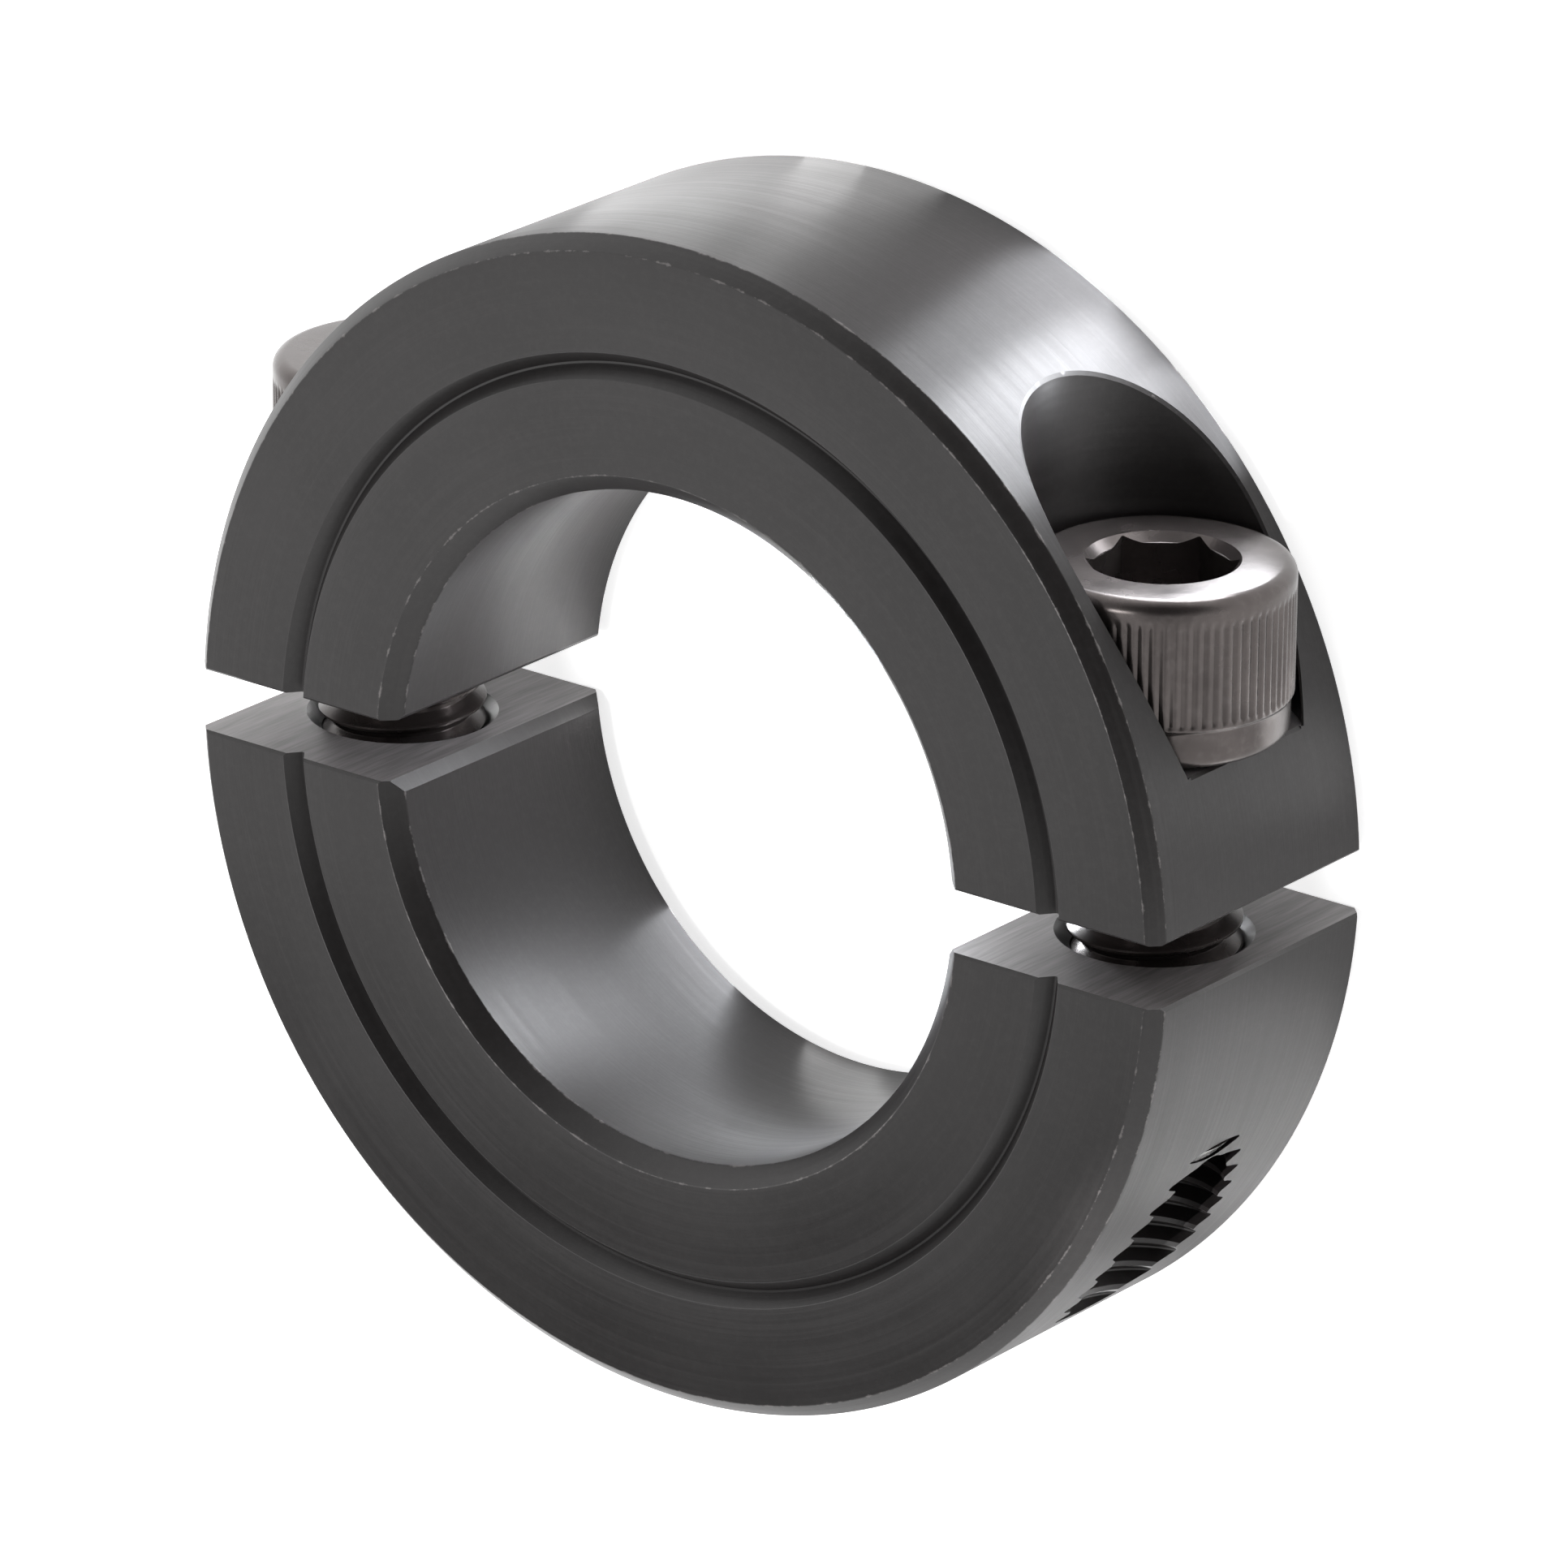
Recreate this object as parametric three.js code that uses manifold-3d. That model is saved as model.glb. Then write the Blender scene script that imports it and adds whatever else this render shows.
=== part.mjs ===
// Two-piece clamping shaft collar, 1 in bore, in black-oxide steel. Millimetres.
// It lies flat on its plain face: the bore axis is +Z, the grooved face is up, and the two screws
// run along Y with their heads towards +Y. The origin is the bore's centre on the plain face.
import * as THREE from 'three';
import { mergeVertices } from 'three/addons/utils/BufferGeometryUtils.js';
import Module from 'manifold-3d';

const wasm = await Module();
wasm.setup();

// Ring
const BORE = 25.4;
const OUTSIDE = 44.45;
const WIDTH = 12.7;
const KERF = 2.38;
const OUTER_CHAMFER = 0.55;
const BORE_CHAMFER = 0.7;
const GROOVE_RADIUS = 17.45;
const GROOVE_WIDTH = 1.0;
const GROOVE_DEPTH = 0.65;
const GROOVE_FLOOR = 0.12;
const RING_STEPS = 96;

// Screws: 1/4-28 x 5/8 in socket head cap screws, and the holes that take them
const BOLT_OFFSET = 17.46;
const PITCH = 25.4 / 28;
const SCREW_LENGTH = 15.875;
const THREAD_ANGLE = Math.PI / 6;
const SCREW_THREAD = { crest: 3.15, root: 2.62, crestFlat: 0.113 };
const TAPPED_THREAD = { crest: 3.26, root: 2.76, crestFlat: 0.106 };
const THREAD_STEPS = 16;
const TIP_CHAMFER = 0.65;
const HEAD_RADIUS = 4.7625;
const HEAD_HEIGHT = 6.35;
const HEAD_EDGE = 0.45;
const HEAD_BAND = 1.75;
const KNURL_TOP = 5.75;
const KNURL_DEPTH = 0.2;
const KNURL_TEETH = 48;
const SOCKET_FLATS = 4.7625;
const SOCKET_DEPTH = 3.05;
const SEAT_HEIGHT = 6.5;
const SEAT_GAP = 0.05;
const COUNTERBORE_RADIUS = 5.07;
const CLEARANCE_RADIUS = 3.375;
const MOUTH_RADIUS = 3.6;
const HOLE_STEPS = 48;

const FAR = 40;

function solidOf(geometry) {
  for (const name of Object.keys(geometry.attributes)) {
    if (name !== 'position') geometry.deleteAttribute(name);
  }
  const merged = mergeVertices(geometry, 1e-4);
  return new wasm.Manifold(new wasm.Mesh({
    numProp: 3,
    vertProperties: new Float32Array(merged.attributes.position.array),
    triVerts: new Uint32Array(merged.index.array),
  }));
}

function geometryOf(solid) {
  const mesh = solid.getMesh();
  const geometry = new THREE.BufferGeometry();
  geometry.setAttribute('position', new THREE.BufferAttribute(mesh.vertProperties, 3));
  geometry.setIndex(new THREE.BufferAttribute(mesh.triVerts, 1));
  geometry.computeVertexNormals();
  return geometry;
}

function turned(profile, steps) {
  return new THREE.LatheGeometry(profile.map(([r, y]) => new THREE.Vector2(r, y)), steps);
}

// A cylinder along Y between two heights
function post(radius, from, to, steps = HOLE_STEPS, topRadius = radius) {
  return new THREE.CylinderGeometry(topRadius, radius, to - from, steps).translate(0, (from + to) / 2, 0);
}

// A right-hand threaded rod along Y. Each row of points follows the helix, four rows to a turn of
// the section: up the flank, along the crest, down the flank. A crest passes the +Z side at height
// `phase`, and at every whole pitch from it.
function threadedRod({ crest, root, crestFlat }, from, to, phase) {
  const flank = (crest - root) * Math.tan(THREAD_ANGLE);
  const section = [
    [-crestFlat / 2 - flank, root],
    [-crestFlat / 2, crest],
    [crestFlat / 2, crest],
    [crestFlat / 2 + flank, root],
  ];
  const first = Math.floor((from - phase) / PITCH) - 2;
  const turns = Math.ceil((to - from) / PITCH) + 4;
  const rows = section.length * turns;
  const positions = [];
  const addPoint = (row, step) => {
    const [rise, radius] = section[row % section.length];
    const turn = first + Math.floor(row / section.length) + step / THREAD_STEPS;
    const angle = 2 * Math.PI * step / THREAD_STEPS;
    positions.push(radius * Math.sin(angle), phase + turn * PITCH + rise, radius * Math.cos(angle));
  };
  for (let row = 0; row <= rows; row++) {
    for (let step = 0; step < THREAD_STEPS; step++) addPoint(row, step);
  }
  for (let row = rows + 1; row <= rows + section.length; row++) addPoint(row, 0);
  const at = (row, step) => {
    if (step === THREAD_STEPS) return at(row + section.length, 0);
    return row <= rows ? row * THREAD_STEPS + step : (rows + 1) * THREAD_STEPS + row - rows - 1;
  };
  const bottom = positions.length / 3;
  positions.push(0, positions[3 * at(0, 0) + 1], 0);
  positions.push(0, positions[3 * at(rows + section.length, 0) + 1], 0);
  const index = [];
  for (let row = 0; row < rows; row++) {
    for (let step = 0; step < THREAD_STEPS; step++) {
      index.push(at(row, step), at(row, step + 1), at(row + 1, step + 1));
      index.push(at(row, step), at(row + 1, step + 1), at(row + 1, step));
    }
  }
  for (let step = 0; step < THREAD_STEPS; step++) {
    index.push(bottom, at(0, step + 1), at(0, step));
    index.push(bottom + 1, at(rows, step), at(rows, step + 1));
  }
  for (let row = 0; row < section.length; row++) {
    index.push(bottom, at(row, 0), at(row + 1, 0));
    index.push(bottom + 1, at(rows + row + 1, 0), at(rows + row, 0));
  }
  const geometry = new THREE.BufferGeometry();
  geometry.setAttribute('position', new THREE.Float32BufferAttribute(positions, 3));
  geometry.setIndex(index);
  return geometry;
}

// The whole ring before it is sawn in two
function ring() {
  const bore = BORE / 2;
  const rim = OUTSIDE / 2;
  const profile = [
    [bore + BORE_CHAMFER, 0],
    [rim - OUTER_CHAMFER, 0],
    [rim, OUTER_CHAMFER],
    [rim, WIDTH - OUTER_CHAMFER],
    [rim - OUTER_CHAMFER, WIDTH],
    [GROOVE_RADIUS + GROOVE_WIDTH / 2, WIDTH],
    [GROOVE_RADIUS + GROOVE_FLOOR / 2, WIDTH - GROOVE_DEPTH],
    [GROOVE_RADIUS - GROOVE_FLOOR / 2, WIDTH - GROOVE_DEPTH],
    [GROOVE_RADIUS - GROOVE_WIDTH / 2, WIDTH],
    [bore + BORE_CHAMFER, WIDTH],
    [bore, WIDTH - BORE_CHAMFER],
    [bore, BORE_CHAMFER],
    [bore + BORE_CHAMFER, 0],
  ];
  return turned(profile, RING_STEPS).rotateX(Math.PI / 2);
}

// Everything on one side of the saw cut: side is 1 for +Y, -1 for -Y
function sideOfCut(side) {
  return solidOf(new THREE.BoxGeometry(2 * FAR, FAR, 2 * FAR).translate(0, side * (KERF + FAR) / 2, 0));
}

function atBolts(makeTool) {
  return [-1, 1].map((side) => solidOf(makeTool().translate(side * BOLT_OFFSET, 0, WIDTH / 2)));
}

// The half that the screw heads pull on: two counterbores with a clearance hole in each floor
function clampingHalf() {
  return wasm.Manifold.difference([
    solidOf(ring()).intersect(sideOfCut(1)),
    ...atBolts(() => post(COUNTERBORE_RADIUS, SEAT_HEIGHT, FAR)),
    ...atBolts(() => post(CLEARANCE_RADIUS, 0, SEAT_HEIGHT + 1)),
  ]);
}

// The half that the screws pull up: two tapped holes that run out through the rim
function threadedHalf() {
  const face = -KERF / 2;
  const lead = MOUTH_RADIUS - TAPPED_THREAD.root;
  return wasm.Manifold.difference([
    solidOf(ring()).intersect(sideOfCut(-1)),
    ...atBolts(() => threadedRod(TAPPED_THREAD, -OUTSIDE / 2, 0, 0)),
    ...atBolts(() => post(TAPPED_THREAD.root, face - lead, face + 1, HOLE_STEPS, MOUTH_RADIUS + 1)),
  ]);
}

// A knurled cap screw along Y with its head's seat at height 0. The socket can be turned, because a
// tightened screw stops where it stops.
function capScrew(socketTurn) {
  const shank = solidOf(threadedRod(SCREW_THREAD, -SCREW_LENGTH, HEAD_BAND / 2, -SEAT_HEIGHT - SEAT_GAP));
  const envelope = solidOf(turned([
    [0, -SCREW_LENGTH],
    [SCREW_THREAD.crest - TIP_CHAMFER, -SCREW_LENGTH],
    [SCREW_THREAD.crest + 0.1, -SCREW_LENGTH + TIP_CHAMFER + 0.1],
    [SCREW_THREAD.crest + 0.1, HEAD_BAND / 2],
    [0, HEAD_BAND / 2],
  ], HOLE_STEPS));
  const head = solidOf(turned([
    [0, 0],
    [HEAD_RADIUS - HEAD_EDGE, 0],
    [HEAD_RADIUS - HEAD_EDGE * 0.3, HEAD_EDGE * 0.3],
    [HEAD_RADIUS, HEAD_EDGE],
    [HEAD_RADIUS, HEAD_BAND],
    [HEAD_RADIUS - KNURL_DEPTH, HEAD_BAND],
    [HEAD_RADIUS - KNURL_DEPTH, KNURL_TOP],
    [HEAD_RADIUS, KNURL_TOP],
    [HEAD_RADIUS - HEAD_EDGE * 0.3, HEAD_HEIGHT - HEAD_EDGE * 0.3],
    [HEAD_RADIUS - HEAD_EDGE, HEAD_HEIGHT],
    [0, HEAD_HEIGHT],
  ], KNURL_TEETH));
  const outline = new THREE.Shape();
  for (let point = 0; point < 2 * KNURL_TEETH; point++) {
    const radius = HEAD_RADIUS - (point % 2 ? KNURL_DEPTH : 0.02);
    const angle = Math.PI * point / KNURL_TEETH;
    const move = point ? 'lineTo' : 'moveTo';
    outline[move](radius * Math.cos(angle), radius * Math.sin(angle));
  }
  const knurl = new THREE.ExtrudeGeometry(outline, { depth: KNURL_TOP - HEAD_BAND + 0.1, bevelEnabled: false });
  knurl.rotateX(-Math.PI / 2).translate(0, HEAD_BAND - 0.05, 0);
  const socket = post(SOCKET_FLATS / Math.sqrt(3), HEAD_HEIGHT - SOCKET_DEPTH, HEAD_HEIGHT + 1, 6);
  socket.rotateY(THREE.MathUtils.degToRad(socketTurn));
  return wasm.Manifold.union([shank.intersect(envelope), head, solidOf(knurl)]).subtract(solidOf(socket));
}

function steel(color, roughness) {
  return new THREE.MeshStandardMaterial({ color, roughness, metalness: 0.9 });
}

function piece(name, solid, material, x = 0, y = 0, z = 0) {
  const mesh = new THREE.Mesh(geometryOf(solid), material);
  mesh.name = name;
  mesh.position.set(x, y, z);
  return mesh;
}

const collar = new THREE.Group();
const screwSeat = SEAT_HEIGHT + SEAT_GAP;
collar.add(
  piece('threaded_half', threadedHalf(), steel(0x565354, 0.42)),
  piece('clamping_half', clampingHalf(), steel(0x585556, 0.42)),
  piece('left_cap_screw', capScrew(26), steel(0x4a4644, 0.36), -BOLT_OFFSET, screwSeat, WIDTH / 2),
  piece('right_cap_screw', capScrew(8), steel(0x4c4846, 0.36), BOLT_OFFSET, screwSeat, WIDTH / 2),
);

export default collar;
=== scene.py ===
"""Two-piece clamping shaft collar in black-oxide steel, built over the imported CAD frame.

Shapes are made in millimetres in the CAD frame and scaled to metres at the end: the bore axis is Z,
the screws run along Y with their heads at +Y, and the plain face lies on the floor at Z = 0.
"""
import math
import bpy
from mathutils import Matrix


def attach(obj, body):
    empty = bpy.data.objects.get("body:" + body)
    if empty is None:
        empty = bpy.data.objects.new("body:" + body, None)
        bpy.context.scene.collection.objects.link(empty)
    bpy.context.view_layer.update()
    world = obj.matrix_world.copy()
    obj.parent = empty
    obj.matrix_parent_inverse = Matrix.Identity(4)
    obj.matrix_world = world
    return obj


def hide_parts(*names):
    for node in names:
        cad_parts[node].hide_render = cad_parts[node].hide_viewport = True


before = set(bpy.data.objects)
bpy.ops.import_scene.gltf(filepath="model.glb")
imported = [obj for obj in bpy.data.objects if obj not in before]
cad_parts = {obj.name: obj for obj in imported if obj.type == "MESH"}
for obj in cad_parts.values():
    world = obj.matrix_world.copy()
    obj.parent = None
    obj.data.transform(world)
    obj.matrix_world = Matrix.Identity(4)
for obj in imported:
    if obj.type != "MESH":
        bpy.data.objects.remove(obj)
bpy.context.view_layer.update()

from types import SimpleNamespace

import bmesh
import bpy
from mathutils import Matrix, Vector

MM = 0.001
FAR = 30

# Ring, in mm
BORE_R = 12.7
RIM_R = 22.225
WIDTH = 12.7
HALF_KERF = 1.19
RIM_CHAMFER = 0.55
BORE_CHAMFER = 0.7
CHAMFER_EDGE_R = 0.09
GROOVE_R = 17.45
GROOVE_WIDTH = 1.0
GROOVE_DEPTH = 0.65
GROOVE_LIP_R = 0.05
GROOVE_FLOOR_R = 0.1
RING_STEPS = 384

# Filed edges, as the width taken off each of the two faces, in mm
FACE_EDGE = 0.1
RIM_EDGE = 0.13
CLAMPING_BORE_EDGE = 0.16
THREADED_BORE_EDGE = 0.38
COUNTERBORE_EDGE = 0.1
COUNTERBORE_EDGE_STEPS = 160

# Holes for the screws, in mm
BOLT_X = 17.46
BOLT_Z = WIDTH / 2
SEAT_Y = 6.5
COUNTERBORE_R = 5.07
CLEARANCE_R = 3.375
MOUTH_R = 3.6
HOLE_STEPS = 96
COUNTERBORE_STEPS = 160
CONE_STEPS = 128
DRILL_STEPS = 64

# Threads, in mm
PITCH = 25.4 / 28
THREAD_STEPS = 64
SCREW_THREAD = {"crest": 3.15, "root": 2.62, "crest_flat": 0.113, "soft": 0.04}
TAPPED_THREAD = {"crest": 3.26, "root": 2.76, "crest_flat": 0.106, "soft": 0.035}

# Screws, in mm, with heights from the underside of the head
SCREW_LENGTH = 15.875
TIP_R = 2.5
SEAT_GAP = 0.05
HEAD_R = 4.7625
HEAD_HEIGHT = 6.35
HEAD_TOP_ROUND = 0.5
HEAD_FOOT_ROUND = 0.45
BAND_R = 4.63
BAND_STEP = (1.36, 1.6)
KNURL_TEETH = 76
KNURL_DEPTH = 0.07
KNURL_START = (1.5, 1.8)
KNURL_END = (5.25, 5.65)
SOCKET_FLATS = 4.7625
SOCKET_DEPTH = 3.05
SOCKET_CORNER_R = 0.12

# Steel colours
COAT_DARK, COAT_LIGHT = (0.0090, 0.0075, 0.0075), (0.0125, 0.0108, 0.0108)
COAT_GRAIN = (0.022, 0.0195, 0.0195)
COAT_MARKS = (0.024, 0.0213, 0.0213)
SAWN_DARK, SAWN_LIGHT = (0.10, 0.093, 0.093), (0.21, 0.197, 0.197)
# lighter steel where edges are rubbed, also used for a painted highlight line along every edge
RUBBED_AND_HIGHLIT_STEEL = (0.13, 0.12, 0.118)
SCREW_DARK, SCREW_LIGHT = (0.060, 0.0515, 0.0495), (0.086, 0.0745, 0.0715)
SCREW_GRAIN = (0.14, 0.127, 0.123)
# a darker colour for the threaded shank: painted shade
PAINTED_THREAD_SHADE = (0.018, 0.014, 0.013)

# Studio: directions, the tent's brightness, lamp colours, half the floor in metres, and the heights
# of the light panels on the floor in mm
NEAR_SIDE = (0.507, 0.543, 0.669)
MIRRORED_IN_FACE = (-0.574, -0.359, 0.736)
TENT_BRIGHTNESS = 1.5
WHITE = (1, 1, 1)
COOL = (0.93, 0.955, 1.0)
FLOOR_HALF = 1.5
STRIP_HEIGHT = 0.16
STRIP_GAP = 0.03

# Camera: its directions, the point that it looks at and its distance in metres, and its lens in mm
CAMERA_BACK = (0.57444, 0.35912, 0.73556)
CAMERA_RIGHT = (0.78602, 0.00879, -0.61814)
CAMERA_AIM = (0.000395, 0.000084, 0.006001)
CAMERA_DISTANCE = 0.40292
CAMERA_LENS = 253.8

BOX_FACES = [(0, 1, 3, 2), (4, 6, 7, 5), (0, 4, 5, 1), (2, 3, 7, 6), (0, 2, 6, 4), (1, 5, 7, 3)]


# ---------------------------------------------------------------- mesh tools

def new_object(name, verts, faces):
    """An object with doubled points merged and its faces turned outwards."""
    mesh = bpy.data.meshes.new(name)
    mesh.from_pydata([tuple(v) for v in verts], [], faces)
    bm = bmesh.new()
    bm.from_mesh(mesh)
    bmesh.ops.remove_doubles(bm, verts=bm.verts, dist=1e-5)
    bmesh.ops.recalc_face_normals(bm, faces=bm.faces)
    bm.to_mesh(mesh)
    bm.free()
    obj = bpy.data.objects.new(name, mesh)
    bpy.context.scene.collection.objects.link(obj)
    return obj


def boolean(target, tool, operation="DIFFERENCE"):
    """Cuts, joins or intersects target with tool, and removes tool."""
    modifier = target.modifiers.new("boolean", "BOOLEAN")
    modifier.operation = operation
    modifier.solver = "MANIFOLD"
    modifier.object = tool
    bpy.context.view_layer.update()
    evaluated = target.evaluated_get(bpy.context.evaluated_depsgraph_get())
    mesh = bpy.data.meshes.new_from_object(evaluated)
    target.modifiers.clear()
    old, target.data = target.data, mesh
    bpy.data.meshes.remove(old)
    tool_mesh = tool.data
    bpy.data.objects.remove(tool)
    bpy.data.meshes.remove(tool_mesh)
    return target


def rounded(profile, radius, steps=3):
    """A closed profile of (r, h) points with each corner turned to an arc.

    A third number in a point is that corner's own radius.
    """
    out = []
    count = len(profile)
    for i, point in enumerate(profile):
        corner = Vector(point[:2])
        before = Vector(profile[i - 1][:2]) - corner
        after = Vector(profile[(i + 1) % count][:2]) - corner
        wanted = point[2] if len(point) > 2 else radius
        half = before.angle(after) / 2
        reach = min(wanted / math.tan(half), 0.45 * before.length, 0.45 * after.length)
        r = reach * math.tan(half)
        middle = corner + (before.normalized() + after.normalized()).normalized() * (r / math.sin(half))
        start = corner + before.normalized() * reach - middle
        end = corner + after.normalized() * reach - middle
        for k in range(steps + 1):
            mix = start.lerp(end, k / steps)
            out.append(tuple(middle + mix.normalized() * r))
    return out


def turned(name, profile, steps, axis="Y", radius_at=None, closed=False):
    """Revolves (r, h) points about an axis. radius_at(r, h, angle) may change the radius round the turn.

    A closed profile makes a ring. Any other starts and ends on the axis.
    """
    verts, faces, rings = [], [], []
    for r, h in profile:
        ring = []
        for step in range(1 if r < 1e-6 else steps):
            angle = 2 * math.pi * step / steps
            reach = radius_at(r, h, angle) if radius_at and r > 1e-6 else r
            across, along = reach * math.sin(angle), reach * math.cos(angle)
            ring.append(len(verts))
            verts.append((across, h, along) if axis == "Y" else (across, -along, h))
        rings.append(ring)
    pairs = list(zip(rings, rings[1:]))
    if closed:
        pairs.append((rings[-1], rings[0]))
    for low, high in pairs:
        for step in range(steps):
            corners = [low[step % len(low)], low[(step + 1) % len(low)],
                       high[(step + 1) % len(high)], high[step % len(high)]]
            unique = list(dict.fromkeys(corners))
            if len(unique) > 2:
                faces.append(unique)
    return new_object(name, verts, faces)


def box(name, low, high):
    xs, ys, zs = zip(low, high)
    return new_object(name, [(x, y, z) for x in xs for y in ys for z in zs], BOX_FACES)


def moved(obj, matrix):
    obj.data.transform(matrix)
    return obj


def at_bolt(obj, side):
    """Moves what is made round the Y axis to the screw on that side: 1 for +X, -1 for -X."""
    return moved(obj, Matrix.Translation((side * BOLT_X, 0, BOLT_Z)))


def edge_break(point, along, into_a, into_b, size, length):
    """A bar that takes the corner off a straight edge.

    into_a and into_b lead from the edge into the solid's two faces, and size is taken off each.
    """
    a, b = Vector(into_a).normalized(), Vector(into_b).normalized()
    outward = -(a + b).normalized()
    across = (a - b).normalized()
    centre = Vector(point) + (a + b) * size / 2
    run = Vector(along).normalized()
    verts = [centre + run * u + across * v + outward * w
             for u in (-length / 2, length / 2)
             for v in (-1.5 * size, 1.5 * size)
             for w in (0, 2 * size)]
    return new_object("edge_break", verts, BOX_FACES)


def swept_bar(points, sections):
    """A solid along points, with the same number of corners at each."""
    verts, faces = [], []
    corners = len(sections[0])
    for point, section in zip(points, sections):
        verts += [Vector(point) + Vector(s) for s in section]
    last = len(points) - 1
    for i in range(last):
        for k in range(corners):
            m = (k + 1) % corners
            low, high = i * corners, (i + 1) * corners
            faces.append((low + k, low + m, high + m, high + k))
    faces.append(tuple(range(corners)))
    faces.append(tuple(range(last * corners, (last + 1) * corners)))
    return new_object("swept_bar", verts, faces)


def threaded_rod(section, low, high, phase):
    """A right-hand threaded rod along Y.

    section is one pitch of (rise, radius) points, and a rise of 0 passes the +Z side at height phase.
    """
    rows_per_turn = len(section)
    first = math.floor((low - phase) / PITCH) - 2
    turns = math.ceil((high - low) / PITCH) + 4
    rows = rows_per_turn * turns
    verts, index = [], {}

    def at(row, step):
        if step == THREAD_STEPS:
            row, step = row + rows_per_turn, 0
        if (row, step) not in index:
            rise, radius = section[row % rows_per_turn]
            turn = first + row // rows_per_turn + step / THREAD_STEPS
            angle = 2 * math.pi * step / THREAD_STEPS
            index[row, step] = len(verts)
            verts.append((radius * math.sin(angle), phase + turn * PITCH + rise, radius * math.cos(angle)))
        return index[row, step]

    faces = []
    for row in range(rows):
        for step in range(THREAD_STEPS):
            faces.append((at(row, step), at(row, step + 1), at(row + 1, step + 1), at(row + 1, step)))
    for end, row in enumerate((0, rows)):
        tip = len(verts)
        corner = verts[at(row + (rows_per_turn if end else 0), 0)]
        verts.append((0, corner[1], 0))
        for step in range(THREAD_STEPS):
            faces.append((tip, at(row, step), at(row, step + 1)))
        for k in range(rows_per_turn):
            faces.append((tip, at(row + k, 0), at(row + k + 1, 0)))
    return new_object("threaded_rod", verts, faces)


def thread_section(crest, root, crest_flat, soft):
    """One pitch of a 60 degree thread with its crest and root edges softened."""
    slope = math.tan(math.pi / 6)
    edge = crest_flat / 2
    foot = edge + (crest - root) * slope
    lift = soft * slope
    return [
        (-foot - soft * 0.5, root),
        (-foot + lift, root + soft),
        (-edge - lift, crest - soft),
        (-edge + soft * 0.5, crest),
        (edge - soft * 0.5, crest),
        (edge + lift, crest - soft),
        (foot - lift, root + soft),
        (foot + soft * 0.5, root),
    ]


def set_wall_normals(mesh, walls):
    """Gives the round walls their true normals.

    walls lists them as (axis point, axis, radius, facing), with facing 1 for outwards and -1 for inwards.
    """
    normals = [tuple(corner.vector) for corner in mesh.corner_normals]
    for polygon in mesh.polygons:
        corners = [mesh.vertices[v].co for v in polygon.vertices]
        for centre, axis, radius, facing in walls:
            spokes = [corner - Vector(centre) for corner in corners]
            spokes = [spoke - Vector(axis) * spoke.dot(axis) for spoke in spokes]
            on_wall = all(abs(spoke.length - radius) < 2e-3 for spoke in spokes)
            if on_wall and abs(polygon.normal.dot(spokes[0].normalized())) > 0.9:
                for loop, spoke in zip(polygon.loop_indices, spokes):
                    normals[loop] = tuple(spoke.normalized() * facing)
                break
    mesh.normals_split_custom_set(normals)


def finished(obj, name, angle=28, walls=()):
    """Scales a solid to metres, names it, and shades it smooth apart from its real edges."""
    mesh = obj.data
    bm = bmesh.new()
    bm.from_mesh(mesh)
    bmesh.ops.remove_doubles(bm, verts=bm.verts, dist=2e-4)
    bmesh.ops.dissolve_degenerate(bm, edges=bm.edges, dist=2e-4)
    bm.to_mesh(mesh)
    bm.free()
    mesh.shade_smooth()
    mesh.set_sharp_from_angle(angle=math.radians(angle))
    if walls:
        set_wall_normals(mesh, walls)
    mesh.transform(Matrix.Scale(MM, 4))
    mesh.name = obj.name = name
    return obj


# ---------------------------------------------------------------- the two halves

ROUND_WALLS = [((0, 0, 0), (0, 0, 1), RIM_R, 1), ((0, 0, 0), (0, 0, 1), BORE_R, -1)]
COUNTERBORE_WALLS = [((side * BOLT_X, 0, BOLT_Z), (0, 1, 0), COUNTERBORE_R, -1) for side in (-1, 1)]


def ring():
    """The whole ring before it is sawn in two."""
    profile = [
        (BORE_R + BORE_CHAMFER, 0),
        (RIM_R - RIM_CHAMFER, 0),
        (RIM_R, RIM_CHAMFER),
        (RIM_R, WIDTH - RIM_CHAMFER),
        (RIM_R - RIM_CHAMFER, WIDTH),
        (GROOVE_R + GROOVE_WIDTH / 2, WIDTH, GROOVE_LIP_R),
        (GROOVE_R, WIDTH - GROOVE_DEPTH, GROOVE_FLOOR_R),
        (GROOVE_R - GROOVE_WIDTH / 2, WIDTH, GROOVE_LIP_R),
        (BORE_R + BORE_CHAMFER, WIDTH),
        (BORE_R, WIDTH - BORE_CHAMFER),
        (BORE_R, BORE_CHAMFER),
    ]
    return turned("ring", rounded(profile, CHAMFER_EDGE_R), RING_STEPS, axis="Z", closed=True)


def sawn_half(side, bore_edge):
    """One side of the saw cut, with the saw's burrs filed off its edges."""
    cut = side * HALF_KERF
    half = boolean(ring(), box("side", (-FAR, min(cut, side * FAR), -FAR),
                               (FAR, max(cut, side * FAR), FAR)), "INTERSECT")
    rim_x = math.sqrt(RIM_R ** 2 - HALF_KERF ** 2)
    bore_x = math.sqrt(BORE_R ** 2 - HALF_KERF ** 2)
    into_half = (0, side, 0)
    for x in (-1, 1):
        for z, into_cut in ((0, (0, 0, 1)), (WIDTH, (0, 0, -1))):
            middle = (x * (rim_x + bore_x) / 2, cut, z)
            boolean(half, edge_break(middle, (1, 0, 0), into_cut, into_half, FACE_EDGE, 14))
        for edge_x, into_cut, size in ((rim_x, (-x, 0, 0), RIM_EDGE), (bore_x, (x, 0, 0), bore_edge)):
            middle = (x * edge_x, cut, WIDTH / 2)
            boolean(half, edge_break(middle, (0, 0, 1), into_cut, into_half, size, 20))
    return half


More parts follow.
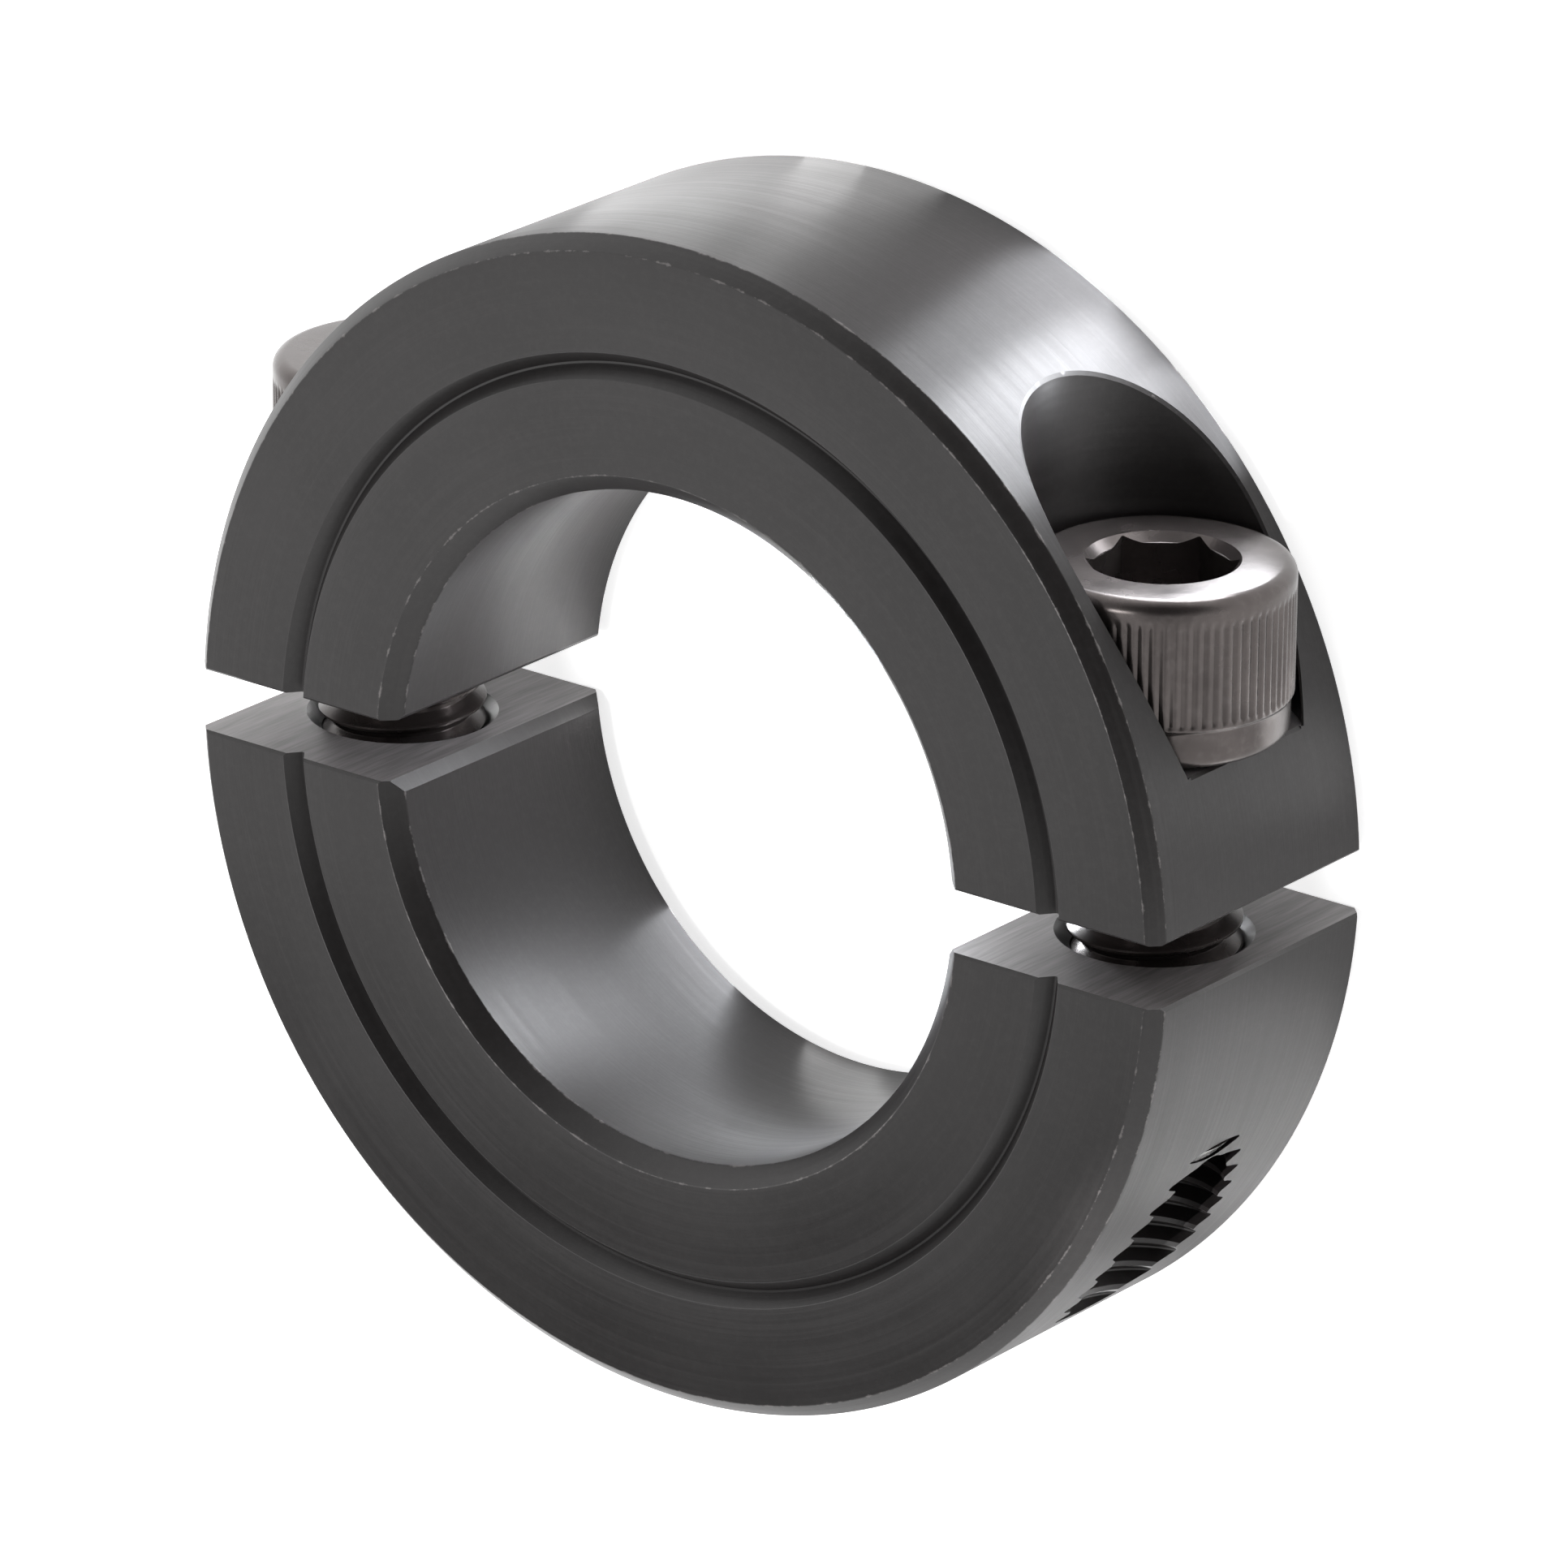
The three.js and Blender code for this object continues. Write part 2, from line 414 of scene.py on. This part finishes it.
def counterbore_edge(side):
    """A thin bar along the edge between the counterbore's wall and the rim."""
    points, sections = [], []
    lowest = math.acos((math.sqrt(RIM_R ** 2 - SEAT_Y ** 2) - BOLT_X) / COUNTERBORE_R)
    flip = Vector((side, 1, 1))
    for i in range(COUNTERBORE_EDGE_STEPS + 1):
        psi = lowest + (2 * math.pi - 2 * lowest) * i / COUNTERBORE_EDGE_STEPS
        x = BOLT_X + COUNTERBORE_R * math.cos(psi)
        z = BOLT_Z + COUNTERBORE_R * math.sin(psi)
        y = math.sqrt(RIM_R ** 2 - x ** 2)
        rim_out = Vector((x, y, 0)).normalized()
        wall_out = Vector((-math.cos(psi), 0, -math.sin(psi)))
        dot = rim_out.dot(wall_out)
        on_rim = (-wall_out + rim_out * dot).normalized() * COUNTERBORE_EDGE
        on_wall = (-rim_out + wall_out * dot).normalized() * COUNTERBORE_EDGE
        spread = (on_rim - on_wall) * 0.3
        apex = (rim_out + wall_out) * COUNTERBORE_EDGE
        points.append(Vector((x, y, z)) * flip)
        sections.append([(on_rim + spread) * flip, (on_wall - spread) * flip, apex * flip])
    return swept_bar(points, sections)


def clamping_half():
    """The half that the screw heads pull on, with two counterbores and a hole in each floor."""
    half = sawn_half(1, CLAMPING_BORE_EDGE)
    counterbore = [(0, SEAT_Y), (COUNTERBORE_R, SEAT_Y), (COUNTERBORE_R, FAR), (0, FAR)]
    clearance = [(0, 0), (CLEARANCE_R, 0), (CLEARANCE_R, SEAT_Y - 0.2),
                 (CLEARANCE_R + 0.4, SEAT_Y + 0.2), (0, SEAT_Y + 0.2)]
    deburr = [(0, 0), (CLEARANCE_R + HALF_KERF + 0.15, 0),
              (CLEARANCE_R - 0.2, HALF_KERF + 0.35), (0, HALF_KERF + 0.35)]
    floor_x = math.sqrt(RIM_R ** 2 - SEAT_Y ** 2)
    for side in (-1, 1):
        boolean(half, at_bolt(turned("counterbore", counterbore, COUNTERBORE_STEPS), side))
        boolean(half, at_bolt(turned("clearance", clearance, HOLE_STEPS), side))
        boolean(half, at_bolt(turned("deburr", deburr, HOLE_STEPS), side))
        boolean(half, counterbore_edge(side))
        rim_down = (side * SEAT_Y / RIM_R, -floor_x / RIM_R, 0)
        boolean(half, edge_break((side * floor_x, SEAT_Y, BOLT_Z), (0, 0, 1), (-side, 0, 0), rim_down,
                                 COUNTERBORE_EDGE, 6.6))
    return finished(half, "clamping_half_steel", walls=ROUND_WALLS + COUNTERBORE_WALLS)


def threaded_half():
    """The half that the screws pull up, with two tapped holes that run out through the rim."""
    half = sawn_half(-1, THREADED_BORE_EDGE)
    root = TAPPED_THREAD["root"]
    lead_end = -HALF_KERF - (MOUTH_R - root)
    lead = [(0, lead_end), (root, lead_end), (MOUTH_R + HALF_KERF, 0), (0, 0)]
    for side in (-1, 1):
        boolean(half, at_bolt(threaded_rod(thread_section(**TAPPED_THREAD), -RIM_R, 0, 0), side))
        boolean(half, at_bolt(turned("lead", lead, CONE_STEPS), side))
    return finished(half, "threaded_half_steel", walls=ROUND_WALLS)


# ---------------------------------------------------------------- the cap screws

def smoothstep(low, high, x):
    t = min(max((x - low) / (high - low), 0.0), 1.0)
    return t * t * (3 - 2 * t)


def quarter_turn(steps):
    """Angles from 0 to 90 degrees, for a rounded edge."""
    return [math.pi / 2 * k / steps for k in range(steps + 1)]


def knurled(r, h, angle):
    """Straight knurling over the upper part of the head, running out softly at both ends."""
    depth = KNURL_DEPTH * smoothstep(*KNURL_START, h) * (1 - smoothstep(*KNURL_END, h))
    tooth = 0.5 + 0.5 * math.cos(angle * KNURL_TEETH)
    return r - depth * (1 - tooth ** 0.7)


def screw_head():
    """A head with a rounded foot, a plain band, a knurled flank and a rounded top edge."""
    top = HEAD_HEIGHT
    foot = [(BAND_R - HEAD_FOOT_ROUND * (1 - math.sin(a)), HEAD_FOOT_ROUND * (1 - math.cos(a)))
            for a in quarter_turn(8)]
    band = [(BAND_R, h) for h in (0.8, 1.2, BAND_STEP[0])]
    step = [(BAND_R + (HEAD_R - BAND_R) * smoothstep(*BAND_STEP, h), h)
            for h in [BAND_STEP[0] + 0.04 * k for k in range(1, 7)]]
    # heights are close together where the knurling starts and where it runs out
    flank = [(HEAD_R, h) for h in (1.65, 1.7, 1.75, 1.8, 2.4, 3.1, 3.8, 4.5)]
    flank += [(HEAD_R, 5.2 + 0.07 * k) for k in range(8)]
    edge = [(HEAD_R - HEAD_TOP_ROUND * (1 - math.cos(a)), top - HEAD_TOP_ROUND * (1 - math.sin(a)))
            for a in quarter_turn(10)]
    profile = [(0, 0), *foot, *band, *step, *flank, *edge, (3.6, top), (2.0, top), (0, top)]
    return turned("head", profile, KNURL_TEETH * 8, radius_at=knurled)


def screw_shank():
    """The threaded shank with a chamfered tip. It reaches a little way into the head."""
    into_head = 0.6
    tip, tip_round = -SCREW_LENGTH, 0.04
    clear = SCREW_THREAD["crest"] + 0.1
    envelope = [(0, tip), (TIP_R - 0.15, tip), (TIP_R, tip + tip_round),
                (clear, tip + tip_round + clear - TIP_R), (clear, into_head), (0, into_head)]
    shank = threaded_rod(thread_section(**SCREW_THREAD), tip, into_head, -SEAT_Y - SEAT_GAP)
    return boolean(shank, turned("envelope", envelope, CONE_STEPS), "INTERSECT")


def neck():
    """The smooth neck and fillet that join the thread to the head."""
    root = SCREW_THREAD["root"]
    profile = [(0, -0.45), (root, -0.45), (root + 0.08, -0.2),
               (root + 0.5, 0.05), (root + 0.5, 0.3), (0, 0.3)]
    return turned("neck", profile, HOLE_STEPS)


def cut_socket(head, socket_turn):
    """A hexagon socket with a drill point at its bottom and a chamfered mouth."""
    top, low = HEAD_HEIGHT, HEAD_HEIGHT - SOCKET_DEPTH
    corner = SOCKET_FLATS / math.sqrt(3)
    hexagon = [(corner * math.cos(math.pi / 3 * k), corner * math.sin(math.pi / 3 * k)) for k in range(6)]
    section = [(x, 0, z) for x, z in rounded(hexagon, SOCKET_CORNER_R, 4)]
    turn = Matrix.Rotation(math.radians(socket_turn), 4, "Y")
    boolean(head, moved(swept_bar([(0, low, 0), (0, top + 1, 0)], [section, section]), turn))
    drill = [(0, low - 0.75), (SOCKET_FLATS / 2 - 0.25, low + 0.05), (0, low + 0.05)]
    boolean(head, turned("drill_point", drill, DRILL_STEPS))
    mouth = [(0, top - 0.35), (corner - 0.28, top - 0.32), (corner + 0.12, top + 0.08), (0, top + 0.08)]
    boolean(head, turned("socket_mouth", mouth, HOLE_STEPS))


def cap_screw(name, side, socket_turn):
    """A socket head cap screw in its counterbore. socket_turn is how far round its socket stands."""
    screw = screw_head()
    boolean(screw, screw_shank(), "UNION")
    boolean(screw, neck(), "UNION")
    cut_socket(screw, socket_turn)
    moved(screw, Matrix.Translation((side * BOLT_X, SEAT_Y + SEAT_GAP, BOLT_Z)))
    return finished(screw, name, 32)


# ---------------------------------------------------------------- materials

class Nodes:
    """A short way to write a node tree."""

    def __init__(self, owner):
        owner.use_nodes = True
        self.tree = owner.node_tree
        self.tree.nodes.clear()

    def add(self, kind, inputs=None, **settings):
        node = self.tree.nodes.new(kind)
        for key, value in settings.items():
            setattr(node, key, value)
        for key, value in (inputs or {}).items():
            if hasattr(value, "is_output"):
                self.tree.links.new(value, node.inputs[key])
            else:
                node.inputs[key].default_value = value
        return node

    def math(self, operation, a, b=None, clamp=False):
        inputs = {i: v for i, v in enumerate((a, b)) if v is not None}
        return self.add("ShaderNodeMath", inputs, operation=operation, use_clamp=clamp).outputs[0]

    def vector(self, operation, a, b=None):
        inputs = {i: v for i, v in enumerate((a, b)) if v is not None}
        return self.add("ShaderNodeVectorMath", inputs, operation=operation)

    def mix(self, factor, a, b):
        node = self.add("ShaderNodeMix", {"Factor": factor}, data_type="RGBA")
        for socket, value in ((node.inputs[6], a), (node.inputs[7], b)):
            if hasattr(value, "is_output"):
                self.tree.links.new(value, socket)
            else:
                socket.default_value = (*value, 1)
        return node.outputs[2]

    def remap(self, value, low, high, to_low, to_high):
        return self.add("ShaderNodeMapRange", {"Value": value, "From Min": low, "From Max": high,
                                               "To Min": to_low, "To Max": to_high}).outputs[0]

    def length(self, a, b):
        return self.math("SQRT", self.math("ADD", self.math("MULTIPLY", a, a), self.math("MULTIPLY", b, b)))

    def choose(self, mask, a, b):
        """a where mask is 1, and b where it is 0."""
        return self.math("ADD", self.math("MULTIPLY", a, mask),
                         self.math("MULTIPLY", b, self.math("SUBTRACT", 1.0, mask)))

    def join(self, a, b):
        return self.add("ShaderNodeCombineXYZ", {0: a, 1: b}).outputs[0]

    def noise(self, vector, scale, detail=4.0, rough=0.55):
        return self.add("ShaderNodeTexNoise", {"Vector": vector, "Scale": scale, "Detail": detail,
                                               "Roughness": rough}).outputs["Fac"]


def ring_places(n, round_walls):
    """Where a point lies on the ring: metres past each surface, and masks from 0 to 1.

    The rim and the bore face along Y in places, as the cut does, so they leave out the cut's mask.
    """
    coords = n.add("ShaderNodeTexCoord")
    position, normal = coords.outputs["Object"], coords.outputs["Normal"]
    x, y, z = n.add("ShaderNodeSeparateXYZ", {0: position}).outputs
    normal_parts = n.add("ShaderNodeSeparateXYZ", {0: normal}).outputs
    radius = n.length(x, y)
    from_bolt_x = n.math("SUBTRACT", n.math("ABSOLUTE", x), BOLT_X * MM)
    mid_z = n.math("SUBTRACT", z, BOLT_Z * MM)
    past_counterbore = n.math("SUBTRACT", n.length(from_bolt_x, mid_z), COUNTERBORE_R * MM)
    above_seat = n.remap(y, (SEAT_Y - 0.1) * MM, SEAT_Y * MM, 0, 1)
    return SimpleNamespace(
        position=position, normal=normal, x=x, y=y, z=z, radius=radius,
        turn=n.math("ARCTAN2", y, x),
        past_face=n.math("SUBTRACT", n.math("ABSOLUTE", mid_z), WIDTH / 2 * MM),
        past_cut=n.math("SUBTRACT", n.math("ABSOLUTE", y), HALF_KERF * MM),
        past_rim=n.math("SUBTRACT", radius, RIM_R * MM),
        past_bore=n.math("SUBTRACT", radius, BORE_R * MM),
        past_counterbore=past_counterbore,
        above_seat=above_seat,
        on_face=n.remap(n.math("ABSOLUTE", normal_parts[2]), 0.8, 0.95, 0, 1),
        on_cut=0.0 if round_walls else n.remap(n.math("ABSOLUTE", normal_parts[1]), 0.985, 0.998, 0, 1),
        in_counterbore=n.math("MULTIPLY", above_seat, n.remap(past_counterbore, 0.05 * MM, 0.15 * MM, 1, 0)),
    )


def tool_marks(n, at):
    """Rings on the faces, hoops on the rim and in the bore, saw strokes on the cut, and bored walls."""
    def stretched(across, per_metre, around, per_turn, detail):
        plane = n.join(n.math("MULTIPLY", across, per_metre), n.math("MULTIPLY", around, per_turn))
        return n.noise(plane, 1.0, detail)

    def marks_along(across, around, fine, coarse):
        return n.math("ADD", n.math("MULTIPLY", stretched(across, fine, around, 1.5, 2.0), 0.6),
                      n.math("MULTIPLY", stretched(across, coarse, around, 0.6, 1.0), 0.4))

    marks = n.choose(at.on_face, marks_along(at.radius, at.turn, 9000.0, 3200.0),
                     marks_along(at.z, at.turn, 8000.0, 2500.0))
    marks = n.choose(at.on_cut, marks_along(at.x, n.math("MULTIPLY", at.z, 260.0), 7000.0, 2600.0), marks)
    return n.choose(at.in_counterbore,
                    marks_along(at.y, n.math("MULTIPLY", at.x, 200.0), 4200.0, 1500.0), marks)


def rubbed_and_highlit_edges(n, at):
    """How far the coat is rubbed through, from 0 to 1: in dashes along the edges, over a faint unbroken
    lighter line along every edge that is a painted highlight.
    """
    def corner(past_a, before_a, past_b, before_b):
        return n.length(n.math("ADD", past_a, before_a * MM), n.math("ADD", past_b, before_b * MM))

    edge = corner(at.past_rim, RIM_CHAMFER, at.past_face, 0)
    for other in (corner(at.past_rim, 0, at.past_face, RIM_CHAMFER),
                  corner(at.past_bore, -BORE_CHAMFER, at.past_face, 0),
                  corner(at.past_bore, 0, at.past_face, BORE_CHAMFER),
                  corner(at.past_cut, 0, at.past_rim, 0),
                  corner(at.past_cut, 0, at.past_bore, 0),
                  corner(at.past_cut, 0, at.past_face, 0),
                  n.math("ADD", corner(at.past_counterbore, 0, at.past_rim, 0),
                         n.math("MULTIPLY", n.math("SUBTRACT", 1.0, at.above_seat), 0.01))):
        edge = n.math("MINIMUM", edge, other)
    dashes = n.noise(at.position, 1500.0, 4.0, 0.7)
    # reach is never under 0.01 mm, which keeps a faint unbroken lighter line along every edge: a painted
    # highlight
    reach = n.remap(dashes, 0.47, 0.75, 0.01 * MM, 0.12 * MM)
    return n.math("DIVIDE", n.math("SUBTRACT", reach, edge), 0.05 * MM, clamp=True)


def across_the_turning(n, at):
    """The direction across the turning marks, which a reflection on a round wall spreads along."""
    hoop = n.join(n.math("MULTIPLY", at.y, -1.0), at.x)
    across = n.vector("CROSS_PRODUCT", at.normal, hoop).outputs[0]
    across = n.add("ShaderNodeVectorTransform", {0: across}, vector_type="VECTOR",
                   convert_from="OBJECT", convert_to="WORLD").outputs[0]
    return n.vector("NORMALIZE", across).outputs[0]


def black_oxide_ring(name, tone, round_walls):
    """Turned steel with a black oxide coat: tool marks, a slightly uneven coat, and rubbed edges with a
    painted highlight line along them.

    round_walls is for the rim and the bore, where turning spreads a reflection from face to face.
    """
    material = bpy.data.materials.new(name)
    n = Nodes(material)
    at = ring_places(n, round_walls)
    marks = tool_marks(n, at)
    grain = n.noise(at.position, 3200.0, 5.0, 0.7)
    clouds = n.noise(at.position, 130.0, 3.0, 0.5)

    dark, light, grainy, marked = [tuple(c * tone for c in colour)
                                   for colour in (COAT_DARK, COAT_LIGHT, COAT_GRAIN, COAT_MARKS)]
    coat = n.mix(n.remap(clouds, 0.3, 0.7, 0, 1), dark, light)
    coat = n.mix(n.remap(grain, 0.45, 0.75, 0, 0.5), coat, grainy)
    coat = n.mix(n.remap(marks, 0.5, 0.75, 0, 0.4), coat, marked)
    coat = n.mix(at.on_cut, coat, n.mix(n.remap(marks, 0.35, 0.7, 0, 1), SAWN_DARK, SAWN_LIGHT))
    # rubbed steel in dashes along the edges, with a thin painted highlight line along them
    coat = n.mix(n.math("MULTIPLY", rubbed_and_highlit_edges(n, at), 0.7), coat, RUBBED_AND_HIGHLIT_STEEL)

    base_rough = 0.44 if round_walls else 0.35
    rough = n.math("ADD", n.remap(clouds, 0.3, 0.7, base_rough, base_rough + 0.05),
                   n.remap(marks, 0.3, 0.7, -0.03, 0.04))
    rough = n.choose(at.on_cut, 0.42, rough)
    height = n.math("ADD", marks, n.math("MULTIPLY", grain, 0.4))
    bump = n.add("ShaderNodeBump", {"Height": height, "Strength": 0.3, "Distance": 0.00002}).outputs[0]

    inputs = {"Base Color": coat, "Roughness": rough, "Normal": bump, "Metallic": 0.25, "IOR": 1.55}
    if round_walls:
        inputs.update({"Anisotropic": 0.85, "Tangent": across_the_turning(n, at)})
    shader = n.add("ShaderNodeBsdfPrincipled", inputs)
    n.add("ShaderNodeOutputMaterial", {"Surface": shader.outputs[0]})
    return material


def black_oxide_screw(name):
    """Heat-treated alloy screw: browner and lighter than the ring, with a fine grain, and its threaded shank
    darkened as painted shade.
    """
    material = bpy.data.materials.new(name)
    n = Nodes(material)
    position = n.add("ShaderNodeTexCoord").outputs["Object"]
    grain = n.noise(position, 3000.0, 4.0, 0.65)
    clouds = n.noise(position, 420.0, 3.0, 0.55)
    coat = n.mix(n.remap(clouds, 0.35, 0.65, 0, 1), SCREW_DARK, SCREW_LIGHT)
    coat = n.mix(n.remap(grain, 0.5, 0.75, 0, 0.3), coat, SCREW_GRAIN)
    along = n.add("ShaderNodeSeparateXYZ", {0: position}).outputs[1]
    # the shank below the head's seat is darkened: painted shade
    coat = n.mix(n.remap(along, SEAT_Y * MM, (SEAT_Y + 0.2) * MM, 0.75, 0), coat, PAINTED_THREAD_SHADE)
    rough = n.remap(clouds, 0.3, 0.7, 0.21, 0.30)
    bump = n.add("ShaderNodeBump", {"Height": grain, "Strength": 0.25, "Distance": 0.000015}).outputs[0]
    shader = n.add("ShaderNodeBsdfPrincipled", {"Base Color": coat, "Roughness": rough, "Normal": bump,
                                                "Metallic": 0.75})
    n.add("ShaderNodeOutputMaterial", {"Surface": shader.outputs[0]})
    return material


def pale_paper():
    """White paper that gives off a little light, so that it stays white behind the collar."""
    material = bpy.data.materials.new("pale_floor")
    n = Nodes(material)
    position = n.add("ShaderNodeTexCoord").outputs["Object"]
    paper = n.mix(n.noise(position, 60.0, 3.0), (0.86, 0.86, 0.86), (0.9, 0.9, 0.9))
    shader = n.add("ShaderNodeBsdfPrincipled", {"Base Color": paper, "Roughness": 0.9,
                                                "Emission Color": (1, 1, 1, 1), "Emission Strength": 0.75})
    n.add("ShaderNodeOutputMaterial", {"Surface": shader.outputs[0]})
    return material


# ---------------------------------------------------------------- pieces

def place(obj, body, node, slot, *materials):
    """Puts a piece on its body. A second material goes on the rim and in the bore."""
    mesh = obj.data
    mesh.materials.clear()  # a boolean leaves an empty slot
    for material in materials:
        mesh.materials.append(material)
    if len(materials) > 1:
        for polygon in mesh.polygons:
            reach = [mesh.vertices[v].co.xy.length / MM for v in polygon.vertices]
            upright = abs(polygon.normal.z) < 0.2
            for radius in (RIM_R, BORE_R):
                if upright and all(abs(r - radius) < 0.01 for r in reach):
                    polygon.material_index = 1
    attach(obj, body)
    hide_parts(node)


place(threaded_half(), "threaded_half_body", "threaded_half", "threaded_half_steel",
      black_oxide_ring("threaded_half_faced", 1.0, False),
      black_oxide_ring("threaded_half_turned", 1.0, True))
place(clamping_half(), "clamping_half_body", "clamping_half", "clamping_half_steel",
      black_oxide_ring("clamping_half_faced", 1.04, False),
      black_oxide_ring("clamping_half_turned", 1.04, True))
screw_steel = black_oxide_screw("black_oxide_screw")
place(cap_screw("left_cap_screw_steel", -1, 56), "left_screw_body", "left_cap_screw",
      "screw_steel", screw_steel)
place(cap_screw("right_cap_screw_steel", 1, 38), "right_screw_body", "right_cap_screw",
      "screw_steel", screw_steel)


# ---------------------------------------------------------------- floor and lights

scene = bpy.context.scene
scene.view_settings.view_transform = "Standard"

floor = new_object("floor", [(-FLOOR_HALF, -FLOOR_HALF, 0), (FLOOR_HALF, -FLOOR_HALF, 0),
                             (FLOOR_HALF, FLOOR_HALF, 0), (-FLOOR_HALF, FLOOR_HALF, 0)], [(0, 1, 2, 3)])
floor.data.materials.append(pale_paper())


def studio_sky():
    """A white tent all round, with a dark opening on the near side and a dark patch behind the softbox."""
    world = bpy.data.worlds.new("studio")
    n = Nodes(world)
    direction = n.add("ShaderNodeTexCoord").outputs["Generated"]
    opening = n.vector("DOT_PRODUCT", direction, NEAR_SIDE).outputs["Value"]
    behind = n.vector("DOT_PRODUCT", direction, MIRRORED_IN_FACE).outputs["Value"]
    brightness = n.math("MINIMUM", n.remap(opening, 0.93, 0.45, 0.03, TENT_BRIGHTNESS),
                        n.remap(behind, 0.84, 0.96, TENT_BRIGHTNESS, 0.15))
    background = n.add("ShaderNodeBackground", {"Color": (1, 1, 1, 1), "Strength": brightness})
    n.add("ShaderNodeOutputWorld", {"Surface": background.outputs[0]})
    return world


def new_lamp(name, data, matrix):
    """Puts a lamp in the scene, unseen by the camera."""
    lamp = bpy.data.objects.new(name, data)
    lamp.matrix_world = matrix
    lamp.visible_camera = False
    scene.collection.objects.link(lamp)


def overhead_light(strength, spread):
    data = bpy.data.lights.new("overhead_light", "SUN")
    data.energy, data.angle = strength, math.radians(spread)
    scene.collection.objects.link(bpy.data.objects.new("overhead_light", data))


def panel(name, shape, width, length, radiance, colour=WHITE):
    """An area light of a size in mm that is as bright as radiance says from every side."""
    data = bpy.data.lights.new(name, "AREA")
    data.shape, data.size, data.size_y = shape, width * MM, length * MM
    area = data.size * data.size_y * (math.pi / 4 if shape == "ELLIPSE" else 1)
    data.energy, data.color = radiance * math.pi * area, colour
    return data


def floor_pool(name, x, y, radius, azimuth, elevation, power, distance=250):
    """A narrow lamp aimed at the floor beside the collar. The turned walls mirror the pool of light."""
    a, e = math.radians(azimuth), math.radians(elevation)
    back = Vector((math.cos(a) * math.cos(e), math.sin(a) * math.cos(e), math.sin(e)))
    data = bpy.data.lights.new(name, "SPOT")
    data.energy, data.spot_size, data.spot_blend = power, 2 * math.atan(radius / distance), 0.8
    data.shadow_soft_size = 0.0003
    turn = back.to_track_quat("Z", "Y").to_matrix().to_4x4()
    new_lamp(name, data, Matrix.Translation(Vector((x, y, 0)) * MM + back * distance * MM) @ turn)


def floor_strip(layer, name, x, y, width, length, azimuth, radiance, colour=WHITE, shape="RECTANGLE"):
    """A thin light panel lying on the floor and facing up. The turned walls mirror it as a soft highlight.

    Its width runs along azimuth. Each panel has its own layer, so that a ray through two meets both.
    """
    height = STRIP_HEIGHT + STRIP_GAP * layer
    a = math.radians(azimuth)
    axes = Matrix(((math.cos(a), math.sin(a), 0), (math.sin(a), -math.cos(a), 0), (0, 0, -1)))
    new_lamp(name, panel(name, shape, width, length, radiance, colour),
             Matrix.Translation((x * MM, y * MM, height * MM)) @ axes.transposed().to_4x4())


def face_softbox(distance, low_edge, width, length, radiance):
    """A panel mirrored in the upper part of the collar's face, with its edge a little below the middle."""
    away = Vector(MIRRORED_IN_FACE).normalized()
    across = Vector((0, 0, 1)).cross(away).normalized()
    above = away.cross(across)
    downhill = across * 0.79 - above * 0.61
    uphill = away.cross(downhill)
    centre = Vector((0, 0, WIDTH)) + away * distance + downhill * (low_edge - width / 2)
    axes = Matrix((downhill, uphill, away)).transposed().to_4x4()
    new_lamp("face_softbox", panel("face_softbox", "RECTANGLE", width, length, radiance),
             Matrix.Translation(centre * MM) @ axes)


scene.world = studio_sky()
overhead_light(0.8, 13)
face_softbox(60, 11.2, 58, 84, 1.15)

# name, x, y, width, length, azimuth and radiance of each light panel on the floor
for layer, strip in enumerate([
        ("rim_foot_strip", 11.8, 20.6, 3.6, 8.5, 60, 2.6, COOL, "ELLIPSE"),
        ("rim_side_strip", 16, 17.5, 3.2, 6, 47, 10, COOL, "ELLIPSE"),
        ("rim_back_strip", 11, 27.5, 16, 9, 83, 8, COOL, "ELLIPSE"),
        ("rim_front_strip", 15.8, 26.3, 14, 9, 68, 27, COOL, "ELLIPSE"),
        ("top_strip", -10.2, 21.6, 8, 18, 115, 3.1),
        ("top_back_strip", -12, 26, 5, 10, 125, 6.5),
        ("top_right_strip", -1.8, 24.1, 12, 5, 130, 2.9),
        ("bore_foot_strip", -7.1, -9.2, 2, 3.8, 53, 13, COOL),
        ("bore_far_strip", -1.8, 5, 5, 4.5, 68, 125, COOL),
        ("bore_low_strip", -1.2, -11.4, 1.2, 3, 90, 9)]):
    floor_strip(layer, *strip)

# name, x, y and radius of each pool of light on the floor, and its lamp's azimuth, elevation and power
floor_pool("low_pool", 25, -14, 10, -30, 88, 6)
floor_pool("bottom_pool", 14, -25, 7, -60, 88, 3)
floor_pool("side_pool", 25.5, 5, 3.5, 10, 88, 4.5)
floor_pool("left_cut_pool", -24.5, 0.8, 2.2, 180, 88, 20)
floor_pool("bore_back_pool", -10, -0.6, 2.0, 180, 90, 9, distance=160)


# ---------------------------------------------------------------- camera

def add_camera():
    data = bpy.data.cameras.new("camera")
    data.lens, data.sensor_width = CAMERA_LENS, 36.0
    data.clip_start, data.clip_end = 0.01, 10.0
    camera = bpy.data.objects.new("camera", data)
    scene.collection.objects.link(camera)
    back, right = Vector(CAMERA_BACK).normalized(), Vector(CAMERA_RIGHT).normalized()
    turn = Matrix((right, back.cross(right).normalized(), back)).transposed().to_4x4()
    camera.matrix_world = Matrix.Translation(Vector(CAMERA_AIM) + back * CAMERA_DISTANCE) @ turn
    scene.camera = camera


add_camera()
